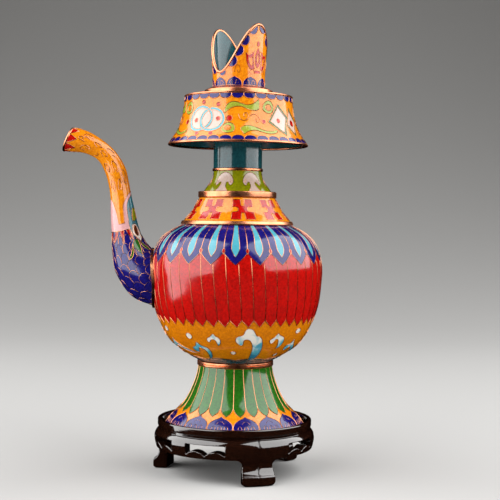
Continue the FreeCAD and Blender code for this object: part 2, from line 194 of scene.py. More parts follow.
def surface_material(name, group, values, bump=0.0, **shader):
    """A material whose colour, roughness and height come from a node group of surface effects."""
    material = bpy.data.materials.new(name)
    material.use_nodes = True
    tree = material.node_tree
    skin = tree.nodes["Principled BSDF"]
    for socket, value in shader.items():
        skin.inputs[socket.replace("_", " ")].default_value = value
    effect = tree.nodes.new("ShaderNodeGroup")
    effect.node_tree = group
    for socket, value in values.items():
        effect.inputs[socket].default_value = hexcolour(value) if isinstance(value, str) else value
    tree.links.new(effect.outputs["Colour"], skin.inputs["Base Color"])
    tree.links.new(effect.outputs["Roughness"], skin.inputs["Roughness"])
    relief = add_node(tree, "Bump", [("Height", effect.outputs["Height"]), ("Strength", bump),
                                     ("Distance", relief_depth)])
    tree.links.new(relief.outputs["Normal"], skin.inputs["Normal"])
    return material


grain, grain_in, grain_out, place = node_group(
    "lacquered_grain", [("Wood", "Color", (0.02, 0.01, 0.006, 1)),
                        ("Streaks", "Color", (0.05, 0.02, 0.01, 1))])
along = add_node(grain, "Mapping", [("Vector", place), ("Scale", lacquer_grain)]).outputs[0]
streaks = noise(grain, along, Scale=14.0, Detail=5.0, Distortion=0.6)
dust = noise(grain, place, Scale=2200.0, Detail=2.0)
give_out(grain, grain_out,
         mixed(grain, ramp(grain, streaks, 0.42, 0.68, 0.0, 1.0), grain_in["Wood"], grain_in["Streaks"]),
         ramp(grain, dust, 0.5, 0.75, 0.07, 0.16), streaks)
lacquered_wood = surface_material("lacquered_wood", grain, {"Wood": "120704", "Streaks": "261109"}, bump=0.12,
                                  IOR=1.5, Coat_Weight=1.0, Coat_IOR=1.6, Coat_Roughness=0.04)


def add_piece(name, source, material, body, replaces=(), sharp=35):
    """Makes a finished piece from a bmesh or a mesh, which rides on a body."""
    mesh = source
    if isinstance(source, bmesh.types.BMesh):
        mesh = bpy.data.meshes.new(name)
        source.to_mesh(mesh)
        source.free()
    mesh.shade_smooth()
    mesh.set_sharp_from_angle(angle=math.radians(sharp))
    mesh.materials.clear()
    mesh.materials.append(material)
    piece = bpy.data.objects.new(name, mesh)
    scene.collection.objects.link(piece)
    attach(piece, body)
    if replaces:
        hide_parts(*replaces)
    return piece


def seam_line(node, outer=True):
    """Radii and heights, from the bottom up, of a turned piece's outer or inner face along its seam."""
    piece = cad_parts[node]
    hair = 0.02 * mm
    seam_width = hair / 100
    seam = sorted({(round(v.co.z, 7), round(v.co.x, 7)) for v in piece.data.vertices
                   if abs(v.co.y) < seam_width and v.co.x > 0})
    ends = (seam[0][0], seam[-1][0])
    line = []
    for height, radius in seam:
        if height in ends:
            level = [r for z, r in seam if z == height]
            outside = radius > (min(level) + max(level)) / 2
        else:
            outside = not all(piece.ray_cast((radius + hair, hair, height + step), (1, 0, 0))[0]
                              for step in (-hair, hair))
        if outside == outer:
            line.append((radius, height))
    return line


def closed_line(bm, places):
    """The verts and edges of a closed line through places."""
    verts = [bm.verts.new(place) for place in places]
    return verts, [bm.edges.new(pair) for pair in zip(verts, verts[1:] + verts[:1])]


def turned(name, outline, material, replaces, body="vase"):
    """A closed piece turned about the vase's axis from an outline of radii and heights."""
    bm = bmesh.new()
    verts, edges = closed_line(bm, [(radius, 0, height) for radius, height in outline])
    bmesh.ops.spin(bm, geom=verts + edges, axis=(0, 0, 1), cent=(0, 0, 0), angle=math.tau,
                   steps=turned_steps, use_merge=True)
    bmesh.ops.recalc_face_normals(bm, faces=bm.faces[:])
    return add_piece(name, bm, material, body, replaces)


def turned_like(name, node, material, body="vase"):
    """A smooth turned piece with the section of a CAD node, in its place."""
    return turned(name, seam_line(node) + seam_line(node, outer=False)[::-1], material, [node], body)


def dress(node, material):
    """Gives a CAD node that stays its material."""
    for slot_of_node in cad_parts[node].material_slots:
        slot_of_node.material = material


turned_like("stand_turned_lip", "stand_lip_ring", lacquered_wood, "stand")
for board in ("stand_apron_1", "stand_apron_2", "stand_apron_3"):
    carved_bm = bmesh.new()
    carved_bm.from_mesh(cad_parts[board].data)
    bmesh.ops.remove_doubles(carved_bm, verts=carved_bm.verts[:], dist=weld_distance)
    carved = add_piece(board + "_carved", carved_bm, lacquered_wood, "stand", [board])
    worn = carved.modifiers.new("carved", "REMESH")
    worn.mode = "VOXEL"
    worn.voxel_size = carved_voxel
    worn.use_smooth_shade = True
    eased = carved.modifiers.new("eased", "SMOOTH")
    eased.factor = carved_easing
    eased.iterations = carved_smoothing
dress("stand_floor", lacquered_wood)


# Copper rings, rims and shells
# Every shell of the vase is spun from sheet copper, and turned copper rings are soldered between the
# shells. What shows of the copper was gilded and polished, with fine marks from the lathe.
rings = ("foot_base_rim", "foot_ring", "shoulder_ring", "collar_ring", "neck_ring", "hat_lower_rim",
         "hat_top_plate", "mouth_collar_ring")
inner_copper = ("foot_shell", "belly_lower_shell", "belly_upper_shell", "collar_shell", "neck_flare_shell",
                "neck_tube", "hat_shell", "mouth_tube", "spout_tube")


def worked(tree, operation, first, second):
    return add_node(tree, "Math", [(0, first), (1, second)], operation=operation).outputs[0]


def copper(name, metal, tarnish, shine, bump):
    return surface_material(name, lathe, {"Metal": metal, "Tarnish": tarnish, "Shine": shine}, bump,
                            Metallic=1.0)


lathe, lathe_in, lathe_out, place = node_group(
    "lathe_marks", [("Metal", "Color", (0.9, 0.5, 0.3, 1)), ("Tarnish", "Color", (0.3, 0.12, 0.06, 1)),
                    ("Shine", "Float", 0.18)])
x, y, z = add_node(lathe, "SeparateXYZ", [(0, place)]).outputs
flat = add_node(lathe, "CombineXYZ", [(0, x), (1, y)]).outputs[0]
radius = add_node(lathe, "VectorMath", [(0, flat)], operation="LENGTH").outputs["Value"]
rounds = add_node(lathe, "CombineXYZ", [(0, radius), (2, z)]).outputs[0]
marks = noise(lathe, rounds, Scale=5000.0, Detail=2.0)
cloud = noise(lathe, place, Scale=160.0, Detail=4.0)
uneven = worked(lathe, "ADD", ramp(lathe, marks, 0.3, 0.7, -0.04, 0.06), lathe_in["Shine"])
give_out(lathe, lathe_out,
         mixed(lathe, ramp(lathe, cloud, 0.45, 0.8, 0.0, 0.55), lathe_in["Metal"], lathe_in["Tarnish"]),
         worked(lathe, "ADD", uneven, ramp(lathe, cloud, 0.45, 0.8, 0.0, 0.15)), marks)
polished_copper = copper("polished_copper", "e8966e", "aa5630", 0.25, 0.12)
dull_copper = copper("dull_copper", "b87850", "4a2414", 0.4, 0.2)
for ring in rings:
    turned_like(ring + "_turned", ring, polished_copper)
for shell in inner_copper:
    dress(shell, dull_copper)


# Foot
# A flared skirt of copper sheet, enamelled outside: long green petals with pointed ends hang over a
# yellow band, and wide blue petals with curls stand on the rim. Bent copper wire parts the colours.
ground_lift = -0.2  # lifts, wires and outlines are in millimetres, and a lift is from the CAD's face
coat_depth = 0.25
cell_lifts = (-0.15, -0.12, -0.09)
cell_floor = -0.28
wire_lift = -0.15
wire_radius = 0.15
fine_wire_radius = 0.1
finest_angle = 2.5
finest_height = 1.4
face_steps = 8
edge_gap = 0.1
enamel_bump = 0.1
enamel_ior = 1.55
hanging_petals = 26
hanging_turn = 5.42
hanging_shoulder = 33
standing_petals = 16
standing_turn = 10


def enamel(name, colour, depth, specks=0.75):
    return surface_material(name, glaze, {"Enamel": colour, "Depth": depth, "Specks": specks}, enamel_bump,
                            IOR=enamel_ior)


glaze, glaze_in, glaze_out, place = node_group(
    "fired_enamel", [("Enamel", "Color", (0.5, 0.1, 0.1, 1)), ("Depth", "Color", (0.2, 0.0, 0.0, 1)),
                     ("Specks", "Float", 0.4), ("Gloss", "Float", 0.1)])
powder = noise(glaze, place, Scale=1000.0, Detail=3.0, Roughness=0.65)
flow = noise(glaze, place, Scale=150.0, Detail=3.0)
pits = add_node(glaze, "TexVoronoi", [("Vector", place), ("Scale", 1500.0)]).outputs["Distance"]
shade = worked(glaze, "MULTIPLY", ramp(glaze, powder, 0.35, 0.7, 0.0, 1.0), glaze_in["Specks"])
speckled = mixed(glaze, shade, glaze_in["Enamel"], glaze_in["Depth"])
give_out(glaze, glaze_out,
         mixed(glaze, ramp(glaze, flow, 0.45, 0.8, 0.0, 0.4), speckled, glaze_in["Depth"]),
         worked(glaze, "ADD", ramp(glaze, flow, 0.3, 0.8, 0.0, 0.06), glaze_in["Gloss"]),
         worked(glaze, "ADD", ramp(glaze, pits, 0.0, 0.22, 0.0, 1.0), ramp(glaze, flow, 0.0, 1.0, 0.0, 3.0)))
green_enamel = enamel("green_enamel", "276816", "133c0a")
yellow_enamel = enamel("yellow_enamel", "e08a10", "b65a06")
blue_enamel = enamel("blue_enamel", "19146c", "0b0a3c")


def drawn(knots, closed=True, steps=5):
    """Points along a smooth line through knots. A knot with a third value is a corner."""
    def slope(i):
        if len(knots[i % len(knots)]) > 2 or (not closed and i in (0, len(knots) - 1)):
            return Vector((0, 0))
        return (Vector(knots[(i + 1) % len(knots)][:2]) - Vector(knots[i - 1][:2])) / 6

    points = []
    for i in range(len(knots) if closed else len(knots) - 1):
        start, end = Vector(knots[i][:2]), Vector(knots[(i + 1) % len(knots)][:2])
        straight = slope(i).length == 0 and slope((i + 1) % len(knots)).length == 0
        span = interpolate_bezier(start, start + slope(i), end - slope((i + 1) % len(knots)), end,
                                  2 if straight else steps + 1)
        points += [tuple(p) for p in span[:-1]]
    return points if closed else points + [tuple(knots[-1][:2])]


def open_lines(*lines):
    """Open lines drawn through knots."""
    return [drawn(knots, closed=False) for knots in lines]


def pair_of(knots):
    """An open line drawn through knots, and its mirror image."""
    return open_lines([(-x, y) for x, y in knots], knots)


def symmetric(half, lean=0.0):
    """A closed shape from its right half's knots, which run from the middle line round to the middle."""
    other = [(-knot[0],) + tuple(knot[1:]) for knot in reversed(half) if knot[0] != 0]
    return drawn([(knot[0] + lean,) + tuple(knot[1:]) for knot in list(half) + other])


def tip_line(half):
    """An open line's knots round a petal's tip, from its right half, which starts on the middle line."""
    return [(-x, y, *corner) for x, y, *corner in reversed(half[1:])] + half


def moved(outline, angle=0.0, height=0.0):
    return [(x + angle, y + height) for x, y in outline]


def around(outline, copies):
    return [moved(outline, 360 * i / copies) for i in range(copies)]


def coated(name, node, material):
    """Lays the ground colour over a node's turned face, a hair under its motifs.

    Returns a function that lays a place over the face, and the lowest and highest place for a cell.
    The place is an angle in degrees from the front, a height and a lift."""
    line = sorted(drawn([(height, radius) for radius, height in seam_line(node)], False, face_steps))
    heights = [height for height, _ in line]

    def lay(angle, height, lift):
        i = min(max(bisect.bisect(heights, height * mm) - 1, 0), len(line) - 2)
        (low, inner), (high, outer) = line[i], line[i + 1]
        share = (height * mm - low) / (high - low)
        face = Vector((high - low, inner - outer)).normalized() * lift * mm
        radius = inner + (outer - inner) * share + face.x
        turn = math.radians(angle)
        return Vector((radius * math.sin(turn), -radius * math.cos(turn), height * mm + face.y))

    outline = [(p.x, p.z) for p in (lay(90, height / mm, ground_lift) for height in heights)]
    outline += [(radius - coat_depth * mm, height) for radius, height in reversed(outline)]
    turned(name, outline, material, [node])
    return lay, heights[0] / mm + edge_gap, heights[-1] / mm - edge_gap


def lines_of(cells):
    """The outlines of cells. A cell is one outline, or a tuple of an outer one and a hole's."""
    return [line for cell in cells for line in (cell if isinstance(cell, tuple) else (cell,))]


def raise_sheet(bm):
    """Makes a flat sheet one unit thick."""
    raised = bmesh.ops.extrude_face_region(bm, geom=bm.faces[:])["geom"]
    bmesh.ops.translate(bm, vec=(0, 0, 1), verts=verts_in(raised))


def inlay(name, skin, cells, material, level=1, copies=1):
    """Enamel cells laid over a face."""
    bm = bmesh.new()
    for cell in cells:
        edges = []
        for outline in lines_of([cell]):
            edges += closed_line(bm, [(x, y, 0) for x, y in outline])[1]
        bmesh.ops.triangle_fill(bm, use_beauty=True, edges=edges, normal=(0, 0, 1))
    for axis, spacing in ((0, finest_angle), (1, finest_height)):
        ends = [v.co[axis] for v in bm.verts]
        for i in range(math.ceil(min(ends) / spacing), math.floor(max(ends) / spacing) + 1):
            cut_place, cut_way = Vector(), Vector()
            cut_place[axis] = i * spacing
            cut_way[axis] = 1
            geometry = bm.verts[:] + bm.edges[:] + bm.faces[:]
            bmesh.ops.bisect_plane(bm, geom=geometry, dist=0.0001, plane_co=cut_place, plane_no=cut_way)
    first = bm.verts[:] + bm.edges[:] + bm.faces[:]
    for i in range(1, copies):
        twin = bmesh.ops.duplicate(bm, geom=first)["geom"]
        bmesh.ops.translate(bm, vec=(360 * i / copies, 0, 0), verts=verts_in(twin))
    raise_sheet(bm)
    bmesh.ops.recalc_face_normals(bm, faces=bm.faces[:])
    for v in bm.verts:
        v.co = skin(v.co.x, v.co.y, cell_lifts[level - 1] if v.co.z > 0.5 else cell_floor)
    return add_piece(name, bm, material, "vase")


def within(place, outline):
    """Whether a place lies inside an outline."""
    x, y = place
    inside = False
    for (x0, y0), (x1, y1) in zip(outline, outline[1:] + outline[:1]):
        if (y0 > y) != (y1 > y) and x < x0 + (y - y0) * (x1 - x0) / (y1 - y0):
            inside = not inside
    return inside


def round_wire(radius, resolution):
    """An empty curve whose lines turn out as round wire."""
    curve = bpy.data.curves.new("wire", "CURVE")
    curve.dimensions = "3D"
    curve.bevel_depth = radius * mm
    curve.bevel_resolution = resolution
    curve.use_fill_caps = True
    return curve


def lay_wire(curve, places):
    """Adds a line through places to a curve of round wire."""
    line = curve.splines.new("POLY")
    line.points.add(len(places) - 1)
    for point, spot in zip(line.points, places):
        point.co = (*spot, 1)
    return line


def mesh_of(curve):
    run = bpy.data.objects.new("wire", curve)
    mesh = bpy.data.meshes.new_from_object(run)
    bpy.data.objects.remove(run)
    return mesh


def wires(name, skin, outlines, strokes=(), under=(), copies=1, radius=wire_radius):
    """Copper wires that stand on a face along closed outlines and open strokes, but not under cells."""
    curve = round_wire(radius, 1)
    closed = [outline + outline[:1] for outline in lines_of(outlines)]
    for stroke in closed + list(strokes):
        fine = []
        for (x0, y0), (x1, y1) in zip(stroke, stroke[1:]):
            parts = max(1, math.ceil(abs(x1 - x0) / finest_angle), math.ceil(abs(y1 - y0) / finest_height))
            fine += [(x0 + (x1 - x0) * i / parts, y0 + (y1 - y0) * i / parts) for i in range(parts)]
        run = []
        for spot in fine + [stroke[-1], None]:
            if spot and not any(within(spot, cell) for cell in under):
                run.append(spot)
                continue
            for i in range(copies if len(run) > 1 else 0):
                lay_wire(curve, [skin(x + 360 * i / copies, y, wire_lift) for x, y in run])
            run = []
    return add_piece(name, mesh_of(curve), shaded_copper, "vase", sharp=60)


# A darker copy of the polished copper for the wires and the spout's root collar: painted shade, standing in
# for the dark reflections they show.
shaded_copper = copper("shaded_copper", "d08e66", "7a4226", 0.24, 0.1)
foot_skin, _, foot_top = coated("foot_ground", "foot_enamel", yellow_enamel)
half_petal = 180 / hanging_petals
hanging_tip = [(0, 29.4, 1), (3.4, 30.5), (5.5, 31.6), (half_petal, hanging_shoulder, 1)]
hanging = moved(symmetric(hanging_tip + [(half_petal, foot_top, 1)]), hanging_turn)
hanging_lines = [moved(line, hanging_turn) for line in (
    [(half_petal, hanging_shoulder), (half_petal, foot_top)], *open_lines(tip_line(hanging_tip)))]
standing = moved(symmetric([(0, 29.7, 1), (2, 28.95), (5.5, 28.3), (9, 27.3), (10.8, 26), (10.6, 24.3),
                            (8.5, 22.8, 1)]), standing_turn)
curls = pair_of([(7.4, 23.8), (6.5, 25.4), (5, 25.8), (3.9, 24.9), (4.5, 23.9), (5.4, 24.4)])
curls += open_lines([(-2, 24), (-0.9, 25.6), (0.9, 25.6), (2, 24)],
                    [(-3.5, 26.6), (-1.5, 27.5), (1.5, 27.5), (3.5, 26.6)])
standing_curls = [moved(curl, standing_turn) for curl in curls]
inlay("foot_green_petals", foot_skin, [hanging], green_enamel, copies=hanging_petals)
inlay("foot_blue_petals", foot_skin, [standing], blue_enamel, level=2, copies=standing_petals)
wires("foot_petal_wires", foot_skin, [], hanging_lines, copies=hanging_petals)
wires("foot_standing_wires", foot_skin, [standing], copies=standing_petals)
wires("foot_curl_wires", foot_skin, [], standing_curls, copies=standing_petals, radius=fine_wire_radius)


# Belly
# Two copper shells that meet at the widest round, enamelled as one: red petals with pointed ends hang
# from blue ones with a pale tongue in each, over an orange band of foaming waves above a dark sea.
red_petals = 44
blue_petals = 23
wave_sets = 3
petal_lean = -3.5
belly_turn = -0.7
red_shoulder = 74
red_top = 106
blue_shoulder = 104.2
bulb_top = 106.2
wave_low = 56 * mm
wave_high = 68 * mm
sea_low = 52.45
sea_high = 54.4
swell_rise = 0.9
swell_angle = 40
sea_half_angle = 60


def oval(x, y, wide, tall, fullness=0.71):
    """An oval about a place, from half its width and height."""
    side, rise = wide * fullness, tall * fullness
    return symmetric([(0, y - tall), (side, y - rise), (wide, y), (side, y + rise), (0, y + tall)], x)


red_enamel = enamel("red_enamel", "bc0f09", "720503")
orange_enamel = enamel("orange_enamel", "d47c06", "a05204")
cyan_enamel = enamel("cyan_enamel", "4f9fae", "2a7f94", 0.4)
sea_enamel = enamel("sea_enamel", "1b5057", "0d2c33")
white_enamel = enamel("white_enamel", "d6cfc5", "aba49c", 0.25)
wash, wash_in, wash_out, place = node_group(
    "washed_enamel", [("Crest", "Color", (0.9, 0.9, 0.9, 1)), ("Water", "Color", (0.1, 0.4, 0.6, 1)),
                      ("Deep", "Color", (0.02, 0.1, 0.2, 1)), ("Low", "Float", 0.0), ("High", "Float", 1.0)])
rise = add_node(wash, "SeparateXYZ", [(0, place)]).outputs[2]
swirl = noise(wash, place, Scale=210.0, Detail=2.0, Distortion=0.8)
level = ramp(wash, rise, wash_in["Low"], wash_in["High"], 0.0, 1.0)
depth = worked(wash, "ADD", level, ramp(wash, swirl, 0.3, 0.7, -0.3, 0.3))
lower = mixed(wash, ramp(wash, depth, 0.0, 0.5, 0.0, 1.0), wash_in["Deep"], wash_in["Water"])
give_out(wash, wash_out, mixed(wash, ramp(wash, depth, 0.45, 0.85, 0.0, 1.0), lower, wash_in["Crest"]),
         ramp(wash, swirl, 0.0, 1.0, 0.08, 0.18), swirl)
wave_colours = {"Crest": "dcd6cc", "Water": "58a6b8", "Deep": "2a6f94"}
wave_enamel = surface_material("wave_enamel", wash, {**wave_colours, "Low": wave_low, "High": wave_high},
                               enamel_bump, IOR=enamel_ior)

belly_skin, _, belly_top = coated("belly_ground", "belly_enamel", orange_enamel)
half_red, half_blue = 180 / red_petals, 180 / blue_petals
red_petal = [(0.8, 70.9), (half_red, red_shoulder), (half_red + petal_lean, red_top),
             (-half_red + petal_lean, red_top), (-half_red, red_shoulder)]
blue_tip = [(0, 98.8, 1), (2.3, 100.2), (5.5, 102.4), (half_blue, blue_shoulder, 1)]
blue_petal = moved(symmetric(blue_tip + [(half_blue, belly_top, 1)]), belly_turn)
blue_lines = [moved(line, belly_turn) for line in (
    *open_lines(tip_line(blue_tip)), [(half_blue, bulb_top), (half_blue, belly_top)])]
tongue = moved(symmetric([(0, 102.3, 1), (1.8, 104.2), (2.7, 106.5), (2.1, 112), (1.95, belly_top, 1)]),
               belly_turn)
bulb = moved(symmetric([(0, 103.5, 1), (0.75, 104.4), (0.85, 105.3), (0, bulb_top, 1)]),
             half_blue + belly_turn)
wave_knots = (
    [(10, 70.3), (12.5, 69.8), (14.5, 68.2), (16, 66.9), (18.5, 66.5), (20.8, 65.2), (22.3, 62.9),
     (23.3, 60.5), (23.6, 58), (22.8, 56), (21.5, 54.4, 1), (15.5, 54.3, 1), (15, 56.5), (14.8, 59.5),
     (14.2, 61.8), (12.8, 63.6), (11, 64.8), (9, 65.2), (7, 65), (6.2, 64.1), (6, 62.9), (4.8, 62.3),
     (3, 62.7), (1, 63.6), (0, 64.6), (0.4, 65.8), (2, 66.6), (4.5, 67), (6, 67.7), (7, 69.3), (8.5, 70.2)],
    [(-17, 67.7), (-15.5, 66.6), (-13.3, 65.9), (-12, 64.8), (-12, 63.6), (-13, 62.6), (-14.3, 62, 1),
     (-15, 63.2), (-15.8, 64.4), (-17.2, 65), (-19, 64.9), (-20, 64.4), (-20.8, 63.8), (-22, 63.7),
     (-22.9, 64.6), (-22, 65.6), (-20, 66.2), (-18.6, 66.9)],
    [(-33, 63.2), (-31, 62), (-28, 61.3), (-25, 60.6), (-23.5, 59.2), (-23.7, 57.6), (-25.5, 56.2),
     (-28.5, 55.2), (-33, 54.6, 1), (-29.5, 55.9), (-28, 57.2), (-27.6, 58.6), (-29, 59.9), (-31, 60.4),
     (-33, 60.6), (-34.5, 60), (-35.5, 59), (-37, 58.3), (-39.5, 58.4), (-41, 59.4), (-40.5, 60.5),
     (-38, 61), (-35.8, 61.6), (-34.5, 62.8)],
    [(34, 67.8), (35.5, 66.9), (38.5, 66.3), (41, 65.5), (42, 63.8), (41.8, 62.2), (40.3, 60.9),
     (37.5, 60.2, 1), (38, 61.6), (36.8, 63.3), (35.8, 64.6), (34.2, 65.1), (33, 64.9), (32.2, 64),
     (31, 63.1), (29.3, 63.2), (28, 64.3), (29, 65.2), (31, 65.9), (32.3, 66.9)],
    [(56, 64), (57.5, 63), (60, 61.9), (64, 60.6), (70, 59.2), (76, 58), (80, 57.2, 1), (70, 57.8),
     (64, 58.6), (60.5, 59.7), (58, 60.4), (55.5, 60.6), (54, 59.9), (51.5, 59), (49, 59.6), (48.5, 60.8),
     (50.5, 61.7), (53.5, 62.3), (54.8, 63.4)])
waves = [drawn(knots) for knots in wave_knots]
foam = [oval(x, y, wide, tall, fullness=0.7) for x, y, wide, tall in (
    (-38.5, 66, 2.8, 1.4), (-2, 58.5, 2.5, 0.8), (54.5, 68.3, 3, 1.2), (46, 56.9, 2.4, 0.7))]
swells = [(x, sea_high + swell_rise * abs(math.sin(math.radians(180 * x / swell_angle))))
          for x in range(-sea_half_angle, sea_half_angle + 1, 2)]
sea = swells + [(sea_half_angle, sea_low), (-sea_half_angle, sea_low)]
swell_lines = [[(x, y - drop) for x, y in swells] for drop in (0, 0.75)]
for name, cells, material, slot, level, copies in (
        ("red_petals", [red_petal], red_enamel, "", 1, red_petals),
        ("blue_petals", [blue_petal], blue_enamel, "", 2, blue_petals),
        ("pale_tongues", [tongue], cyan_enamel, "blue_enamel", 3, blue_petals),
        ("red_bulbs", [bulb], red_enamel, "", 3, blue_petals),
        ("sea", [sea], sea_enamel, "teal_enamel", 1, wave_sets),
        ("waves", waves, wave_enamel, "teal_enamel", 2, wave_sets),
        ("foam", foam, white_enamel, "teal_enamel", 2, wave_sets)):
    inlay("belly_" + name, belly_skin, cells, material, level, copies)
wires("belly_red_wires", belly_skin, [], around(red_petal[-1:] + red_petal[:3], red_petals),
      under=around(blue_petal, blue_petals) + [moved(blue_petal, 360)])
wires("belly_blue_wires", belly_skin, [tongue, bulb], blue_lines, copies=blue_petals)
wires("belly_wave_wires", belly_skin, waves + foam, swell_lines, copies=wave_sets)


# Collar
# A short, hollow-sided copper shell above the shoulder ring, enamelled orange, with red crosses whose
# sides are notched, one beside the other all round.
crosses = 9
cross_angle = 14
cross_turn = 7
cross_low = 118.9
cross_high = 128.3

collar_skin, _, _ = coated("collar_ground", "collar_enamel", yellow_enamel)
quarter = [(0, 0.34), (0.14, 0.38), (0.2, 0.97, 1), (0.95, 0.97, 1), (0.95, 0.26, 1), (0.5, 0.2), (0.42, 0)]
cross = quarter + [(x, -y, *c) for x, y, *c in reversed(quarter[:-1])]
cross += [(-x, y, *c) for x, y, *c in reversed(cross[1:-1])]
cross_middle, cross_half = (cross_low + cross_high) / 2, (cross_high - cross_low) / 2
cross = drawn([(cross_turn + x * cross_angle, cross_middle + y * cross_half, *c) for x, y, *c in cross])
inlay("collar_red_crosses", collar_skin, [cross], red_enamel, copies=crosses)
wires("collar_wires", collar_skin, [cross], copies=crosses)


# Neck
# A flared shell with pale clouds on olive enamel, and above it a straight copper tube, enamelled plain
# teal, that goes up through the hat. A turned ring is soldered between the two.
clouds = 6
cloud_turn = 31

olive_enamel = enamel("olive_enamel", "878808", "5c6406")
teal_enamel = enamel("teal_enamel", "1f545a", "0d3038")
pale_enamel = enamel("pale_enamel", "c8b0a4", "a48c80", 0.4)
flare_skin, flare_low, _ = coated("flare_ground", "neck_flare_enamel", olive_enamel)
cloud = moved(symmetric([(0, 140.8), (8, 140.4), (15, 139.3), (19.5, 137.3), (18.8, 135.6), (15, 134.8),
                         (12, 135.6), (9, 136.4), (5.5, 136), (5.8, 134.6), (8.5, 133.2),
                         (12, flare_low, 1)]), cloud_turn)
cloud_curls = [moved(curl, cloud_turn) for curl in pair_of(
    [(18, 137.2), (15.5, 136), (13.5, 136.6), (14.5, 137.6)])]
inlay("flare_clouds", flare_skin, [cloud], pale_enamel, copies=clouds)
wires("flare_wires", flare_skin, [cloud], cloud_curls, copies=clouds, radius=fine_wire_radius)
turned_like("neck_coat", "neck_enamel", teal_enamel)


# Hat
# A flared copper skirt round the neck, with a rolled lower rim and a plate on top. Its orange enamel
# has a blue scalloped border at both ends, and rings, lozenges, ribbons and round gems between them.
hat_top_scallops = 29
hat_low_scallops = 36
hat_turn = -1
hat_repeats = 2
ribbon_repeats = 4
top_scallop_reach = 173.7
low_scallop_reach = 156.6
ring_widths = (2.6, 1.2)
lozenge_share = 0.8

hat_blue_enamel = enamel("light_blue_enamel", "5aa2ac", "357f90", 0.3)
leaf_enamel = enamel("leaf_enamel", "9da538", "6c7a1c")
hat_skin, hat_low, hat_high = coated("hat_ground", "hat_enamel", yellow_enamel)
turned_like("hat_lining_coat", "hat_lining", teal_enamel)


def shrunk(outline, middle, share):
    """An outline made smaller about its middle."""
    return [tuple(m + (p - m) * share for p, m in zip(place, middle)) for place in outline]


def scallop(half_angle, end, reach):
    """A round-ended cell that stands on one end of a face."""
    return symmetric([(0, reach), (half_angle * 0.6, reach + (end - reach) * 0.14),
                      (half_angle * 0.95, reach + (end - reach) * 0.55), (half_angle * 0.98, end, 1)])


top_scallop = moved(scallop(180 / hat_top_scallops, hat_high, top_scallop_reach), hat_turn)
low_scallop = scallop(180 / hat_low_scallops, hat_low, low_scallop_reach)
ring_ovals = [(oval(x, y, wide, tall), oval(x, y, wide - ring_widths[0], tall - ring_widths[1]))
              for x, y, wide, tall in ((-38.6, 164.6, 13.9, 6.0), (-26.0, 164.0, 13.3, 5.6))]
lozenges = []
for corners in (((29, 163.2), (43.3, 171.8), (56.5, 166), (46, 157.2)),
                ((52.5, 162.4), (62, 170.6), (73, 164.5), (61, 157.4))):
    left, top, right, bottom = corners
    middle = (left[0] + right[0]) / 2, (top[1] + bottom[1]) / 2
    outer = drawn([(*corner, 1) for corner in corners])
    lozenges.append((outer, shrunk(outer, middle, lozenge_share)))
gems = [oval(x, y, a, b) for x, y, a, b in (
    (-44, 163.9, 2, 1), (-19.5, 164.3, 2, 1), (41.5, 164, 2, 1), (62.5, 163.5, 3, 1.4),
    (-37.5, 172.1, 2, 0.9), (-20.5, 170.8, 2, 0.9), (-8.5, 164.4, 2.8, 1.3), (-57.5, 163.4, 2, 1),
    (-38, 157.7, 2, 0.8), (-24, 157.5, 2, 0.8), (24.5, 163.2, 2, 1), (78, 164, 2, 1))]
ribbons = [drawn(knots) for knots in (
    [(-14, 167.5), (-13, 169.5), (-10, 171.3), (-6, 172), (-2, 171.9), (3, 171.2), (8, 170.6), (12, 170.8),
     (16, 171.5), (19, 172.6), (20.8, 173), (21.5, 171.3), (21, 169.2), (19, 168.4), (16, 168.1),
     (12, 168.3), (8, 168.9), (4, 169.7), (0, 169.9), (-4, 169.7), (-8, 169), (-11, 167.8), (-13.5, 166.9)],
    [(2, 159.8), (5, 160.9), (9, 161.3), (14, 160.9), (19, 159.9), (24, 159.1), (30, 158.9), (34, 159.4),
     (37, 159.7), (36, 158.5), (31, 157.7), (26, 157.7), (21, 158.3), (16, 159), (11, 158.8), (8, 158.2),
     (6, 157.4), (4.8, 157.3), (4, 158), (2.5, 159)],
    [(24.5, 169), (26, 171.3), (30, 172.8), (34.5, 172.6), (37, 170.6), (36.5, 168.4), (33, 167.2),
     (28.5, 167.3)],
    [(-15, 159.6), (-13, 161.6), (-9, 162.4), (-5, 161.8), (-3, 160), (-4.5, 158.3), (-8.5, 157.7),
     (-13, 158)])]
ribbon_hearts = [oval(31.2, 169.8, 3.4, 1.5), oval(-9.6, 160, 3.4, 1.2)]
hat_curls = open_lines(
    [(0, 166.4), (1.5, 164.4), (4.5, 163.4), (8, 163.9), (9.6, 165.4), (8.4, 166.8), (6, 166.9), (5, 165.8),
     (6.3, 165)],
    [(11, 165.4), (14.5, 166.4), (18.5, 165.9), (20.8, 164.2), (19.4, 162.8), (17, 163.1), (17, 164.3)])
for name, cells, material, slot, level, copies in (
        ("top_scallops", [top_scallop], blue_enamel, "", 1, hat_top_scallops),
        ("low_scallops", [low_scallop], blue_enamel, "", 1, hat_low_scallops),
        ("ring_fields", [inner for _, inner in ring_ovals + lozenges], pale_enamel, "yellow_enamel", 1,
         hat_repeats),
        ("rings", ring_ovals[:1], hat_blue_enamel, "blue_enamel", 2, hat_repeats),
        ("second_rings", ring_ovals[1:], hat_blue_enamel, "blue_enamel", 3, hat_repeats),
        ("lozenges", lozenges, green_enamel, "", 2, hat_repeats),
        ("ribbons", ribbons, leaf_enamel, "yellow_enamel", 1, ribbon_repeats),
        ("ribbon_hearts", ribbon_hearts, orange_enamel, "yellow_enamel", 2, ribbon_repeats),
        ("gems", gems, red_enamel, "", 3, hat_repeats)):
    inlay("hat_" + name, hat_skin, cells, material, level, copies)
wires("hat_top_wires", hat_skin, [top_scallop], copies=hat_top_scallops)
wires("hat_low_wires", hat_skin, [low_scallop], copies=hat_low_scallops)
wires("hat_ring_wires", hat_skin, ring_ovals + lozenges, copies=hat_repeats)
